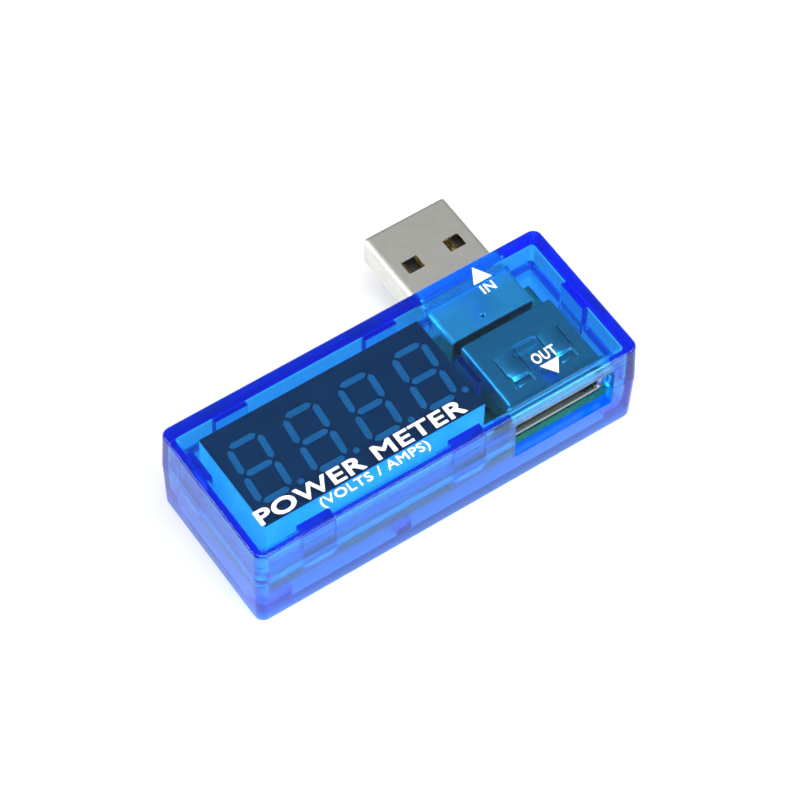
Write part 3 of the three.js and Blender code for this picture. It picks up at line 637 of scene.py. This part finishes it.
def resin_finish():
    """Cast milky resin: cloudy, with small trapped bubbles, and unlit."""
    f = Finish("milky_resin")
    cloud = f.noise(0.9, 3)
    bubbles = f.node("TexVoronoi", {}, {"Vector": f.place, "Scale": 2.2}).within(0.1, 0.16)
    tone = f.blend(cloud, (0.1, 0.105, 0.11), (0.14, 0.145, 0.15))
    return f.done(f.surface(Base_Color=f.blend(bubbles, (0.07, 0.075, 0.08), tone),
                            Roughness=0.3 + cloud * 0.2, Subsurface_Weight=0.15,
                            Normal=f.relief(cloud, 0.01)))


def tin_finish(name, roughness=0.28):
    """Dull tin plate with a slight crystal mottle."""
    f = Finish(name)
    mottle = f.noise(0.2, 3)
    return f.done(f.surface(
        Base_Color=f.blend(mottle, (0.55, 0.55, 0.54), (0.72, 0.72, 0.7)), Metallic=1.0,
        Roughness=roughness + mottle * 0.2, Normal=f.relief(mottle, 0.004),
    ))


tin = tin_finish("tin_plate")
dress(["display_housing"], moulded("white_housing", (0.8, 0.8, 0.78), 0.4))
dress(["display_mask"], mask_finish())
dress(["display_resin"], resin_finish())
dress(["display_diode_board"], moulded("diode_board", (0.6, 0.58, 0.42), 0.5))
dress([f"display_pin_{i:02}" for i in range(1, 13)], tin)

# ---------- circuit board ----------
# 1.6 mm glass-epoxy laminate with green solder mask over its copper on both faces. Its sawn
# edges show the bare laminate.


def board_finish():
    """Copper areas under the mask are cells with sides at right angles and 45 degrees, a shade
    lighter and a hair higher than the gaps between them. The laminate shows at the edges."""
    f = Finish("solder_mask")
    cells = f.node("TexVoronoi", {"distance": "MANHATTAN", "feature": "F1"},
                   {"Vector": f.place, "Scale": 0.33, "Randomness": 0.8})
    second = f.node("TexVoronoi", {"distance": "MANHATTAN", "feature": "F2"},
                    {"Vector": f.place, "Scale": 0.33, "Randomness": 0.8})
    copper = (second - cells).within(0.08, 0.14)
    weave = f.noise(0.25, 2)
    mask = f.blend(copper, (0.008, 0.07, 0.035), (0.015, 0.16, 0.075))
    broad_face = abs(f.upward()) > 0.5
    laminate = f.blend(weave.within(0.4, 0.6), (0.012, 0.07, 0.03), (0.04, 0.2, 0.08))
    return f.done(f.surface(
        Base_Color=f.blend(broad_face, laminate, mask), Roughness=0.28 + weave * 0.2,
        Coat_Weight=broad_face * 0.4, Normal=f.relief(copper + weave * 0.15, 0.03),
    ))


dress(["circuit_board"], board_finish())

# ---------- parts under the board ----------
# Surface-mounted parts, reflow soldered: three moulded chips on bent tinned leads, a shunt,
# four chip resistors and two ceramic capacitors with tinned ends.


def chip_finish(name):
    """Moulded epoxy between its leads: the leads are all that lies past the body's two sides.
    A dot near one corner is sunk by bump only."""
    low, high = span(name)
    f = Finish(name + "_epoxy")
    lead_reach = 1.05
    beyond = abs(f.y - float(low[1] + high[1]) / 2) > float(high[1] - low[1]) / 2 - lead_reach
    grain = f.noise(0.12, 3)
    dot_x, dot_y, dot_radius = float(low[0]) + 0.9, float(low[1]) + 1.9, 0.3
    dot = ((f.x - dot_x) ** 2.0 + (f.y - dot_y) ** 2.0) < dot_radius ** 2
    body = f.blend(grain, (0.014, 0.014, 0.015), (0.035, 0.035, 0.036))
    return f.done(f.surface(
        Base_Color=f.blend(beyond, body, (0.66, 0.66, 0.64)), Metallic=beyond,
        Roughness=0.62 - beyond * 0.3 - dot * 0.3,
        Normal=f.relief(grain * 0.1 - dot * (1 - beyond), 0.06),
    ))


def chip_part_finish(name, colour, roughness):
    """A part whose tinned ends take up a fifth of its length each."""
    low, high = span(name)
    f = Finish(name + "_body")
    half, middle = float(high[0] - low[0]) / 2, float(high[0] + low[0]) / 2
    end = abs(f.x - middle) > half * 0.62
    grain = f.noise(0.15, 3)
    body = f.blend(grain, tuple(c * 0.8 for c in colour), colour)
    return f.done(f.surface(Base_Color=f.blend(end, body, (0.68, 0.68, 0.66)), Metallic=end,
                            Roughness=roughness + grain * 0.12, Normal=f.relief(grain, 0.01)))


for name in ("microcontroller", "sense_amplifier", "voltage_regulator"):
    dress([name], chip_finish(name))
for name in ("shunt_resistor", *(f"chip_resistor_{i}" for i in range(1, 5))):
    dress([name], chip_part_finish(name, (0.02, 0.02, 0.022), 0.2))
for name in ("chip_capacitor_1", "chip_capacitor_2"):
    dress([name], chip_part_finish(name, (0.4, 0.24, 0.12), 0.4))

# ---------- solder ----------
# Solder wets each leg and its pad under the board, and sets in a hollow-sided cone.


def solder_cone(x, y, half_x, half_y):
    """A cone whose section shrinks from its pad to the leg as the square of the height left."""
    t = np.linspace(0, 1, 7)
    spread = 0.5 * (1 - t) ** 2 + 0.04
    rings = [rounded_ring([x - half_x - s, y - half_y - s], [x + half_x + s, y + half_y + s],
                          min(half_x, half_y) + s * 0.9, 3) for s in spread[::-1]]
    return lofted(stacked(rings, board_bottom - 0.02 - 0.6 * t[::-1]))


legs = []
for name in [*numbered, *(f"display_pin_{i:02}" for i in range(1, 13))]:
    low, high = span(name)
    if "contact" in name:
        front = "receptacle" not in name
        y0, y1 = (low[1], low[1] + 0.2) if front else (high[1] - 0.2, high[1])
    else:
        y0, y1 = low[1], high[1]
    legs.append(((low[0] + high[0]) / 2, (y0 + y1) / 2, (high[0] - low[0]) / 2, (y1 - y0) / 2))
legs += [(x + sheet / 2, y, sheet / 2, tab_half)
         for y, low, high in ((plug_tab_y, plug_low[0], plug_high[0]),
                              (tab_y, body_low[0], body_high[0]))
         for x in (low, high - sheet)]
cones = [solder_cone(*leg) for leg in legs]
starts = np.cumsum([0, *(len(points) for points, _ in cones)])
solder = new_piece("solder_joints", np.vstack([points for points, _ in cones]), [
    [int(i + start) for i in face] for (_, faces), start in zip(cones, starts) for face in faces])
finish_piece(solder, tin_finish("solder", 0.18))

# ---------- printing ----------
# White ink, pad printed on the top: what the meter is, its two scales, and an arrow for the
# way the current goes in and out.

ink_thickness, ink_foot = 0.03, casing_top - 0.005


def ink_finish():
    """Printed white ink: dense, slightly rough, with pinholes and a soft mottle."""
    f = Finish("white_ink")
    mottle, pinholes = f.noise(0.5, 3), f.noise(0.12, 1).within(0.24, 0.3)
    tone = f.blend(mottle, (0.82, 0.84, 0.86), (0.93, 0.94, 0.95))
    return f.done(f.surface(Base_Color=f.blend(pinholes, (0.45, 0.55, 0.8), tone),
                            Roughness=0.4 + mottle * 0.2, Normal=f.relief(mottle, 0.006)))


ink = ink_finish()


def legend(name, words, left, right, base, height, weight):
    """Printed words, stretched to run from left to right and from the base up by the height.
    The strokes are made heavier by moving each point of their outline outwards by the weight."""
    text = bpy.data.curves.new(name, "FONT")
    text.body, text.extrude, text.resolution_u = words, 0.5, 4
    text.space_character = 1.08
    drawn = bpy.data.objects.new(name, text)
    bpy.context.scene.collection.objects.link(drawn)
    graph = bpy.context.evaluated_depsgraph_get()
    mesh = bpy.data.meshes.new_from_object(drawn.evaluated_get(graph))
    bpy.data.objects.remove(drawn)
    welded = bmesh.new()
    welded.from_mesh(mesh)
    bmesh.ops.remove_doubles(welded, verts=welded.verts, dist=1e-4)
    welded.to_mesh(mesh)
    welded.free()
    points, outwards = np.empty(len(mesh.vertices) * 3), np.empty(len(mesh.vertices) * 3)
    mesh.vertices.foreach_get("co", points)
    mesh.vertices.foreach_get("normal", outwards)
    points, outwards = points.reshape(-1, 3), outwards.reshape(-1, 3)[:, :2]
    outwards /= np.maximum(np.linalg.norm(outwards, axis=1, keepdims=True), 1e-6)
    points[:, :2] += weight * outwards
    low, high = points.min(0), points.max(0)
    start = np.array([left, base, ink_foot])
    size = np.array([right - left, height, ink_thickness])
    points = corner + MM * (start + (points - low) / (high - low) * size)
    mesh.vertices.foreach_set("co", points.ravel())
    mesh.update()
    made = bpy.data.objects.new(name, mesh)
    bpy.context.scene.collection.objects.link(made)
    finish_piece(made, ink)


def arrow(name, x, base, tip, half):
    """A printed triangle from its base line to its tip, drawn anticlockwise."""
    outline = np.array([[x - half, base], [x + half, base], [x, tip]])
    outline = outline if tip > base else outline[::-1]
    skin = lofted(stacked([outline, outline], [ink_foot, ink_foot + ink_thickness]))
    finish_piece(new_piece(name, *skin, smooth=False), ink)


legend("print_title", "POWER METER", 3.1, 31.7, 3.85, 2.2, 0.03)
legend("print_scales", "(VOLTS / AMPS)", 10.3, 25.3, 1.75, 1.65, 0.02)
legend("print_in", "IN", 42.9, 44.7, 16.5, 1.35, 0.025)
legend("print_out", "OUT", 42.0, 45.3, 4.75, 1.55, 0.025)
arrow("print_arrow_in", 43.85, 18.3, 20.6, 1.32)
arrow("print_arrow_out", 43.6, 4.4, 2.4, 1.35)

# ---------- floor, light and camera ----------
# A plain table that gives a little light of its own, under a wide lamp overhead and three
# smaller ones low down at the left, the right and the front.


def floor_finish():
    """A matt sheet, pale grey, that gives a little light of its own so that it looks white."""
    f = Finish("white_table")
    return f.done(f.surface(
        Base_Color=f.blend(f.noise(40, 2), (0.5, 0.5, 0.5), (0.52, 0.52, 0.52)), Roughness=0.9,
        Emission_Color=(1, 1, 1, 1), Emission_Strength=0.38,
    ))


floor_half = 1500
floor = new_piece("floor", [[x * floor_half, y * floor_half, -seam_gap]
                            for x, y in ((-1, -1), (1, -1), (1, 1), (-1, 1))], [[0, 1, 2, 3]])
floor.data.materials.append(floor_finish())

world = bpy.data.worlds.new("studio")
world.use_nodes = True
sky = world.node_tree.nodes["Background"]
sky.inputs["Color"].default_value, sky.inputs["Strength"].default_value = (1, 1, 1, 1), 0.3
bpy.context.scene.world = world


def lamp(name, place, size, power):
    """A square lamp that faces the model's origin from its place, in metres and watts."""
    data = bpy.data.lights.new(name, "AREA")
    data.size, data.energy = size, power
    thing = bpy.data.objects.new(name, data)
    bpy.context.scene.collection.objects.link(thing)
    thing.location = place
    thing.rotation_euler = (-Vector(place)).to_track_quat("-Z", "Y").to_euler()


lamp("key", (-0.1, -0.1, 0.8), 0.6, 6)
lamp("left", (-0.62, 0.34, 0.3), 0.45, 3.5)
lamp("right", (0.6, -0.4, 0.4), 0.5, 4)
lamp("front", (0.25, -0.62, 0.35), 0.4, 3)

camera_data = bpy.data.cameras.new("camera")
camera_data.lens, camera_data.sensor_width = 158.7, 36  # millimetres
camera_data.clip_start, camera_data.clip_end = 0.01, 10
camera = bpy.data.objects.new("camera", camera_data)
camera.matrix_world = Matrix(((0.8267, 0.45868, -0.32586, -0.13495),
                              (-0.56242, 0.69001, -0.4556, -0.19459),
                              (0.01587, 0.55991, 0.8284, 0.35445),
                              (0, 0, 0, 1)))
bpy.context.scene.collection.objects.link(camera)
bpy.context.scene.camera = camera
bpy.context.scene.view_settings.view_transform = "Standard"
bpy.context.scene.cycles.max_bounces = 24
bpy.context.scene.cycles.transmission_bounces = 20
bpy.context.scene.cycles.transparent_max_bounces = 24
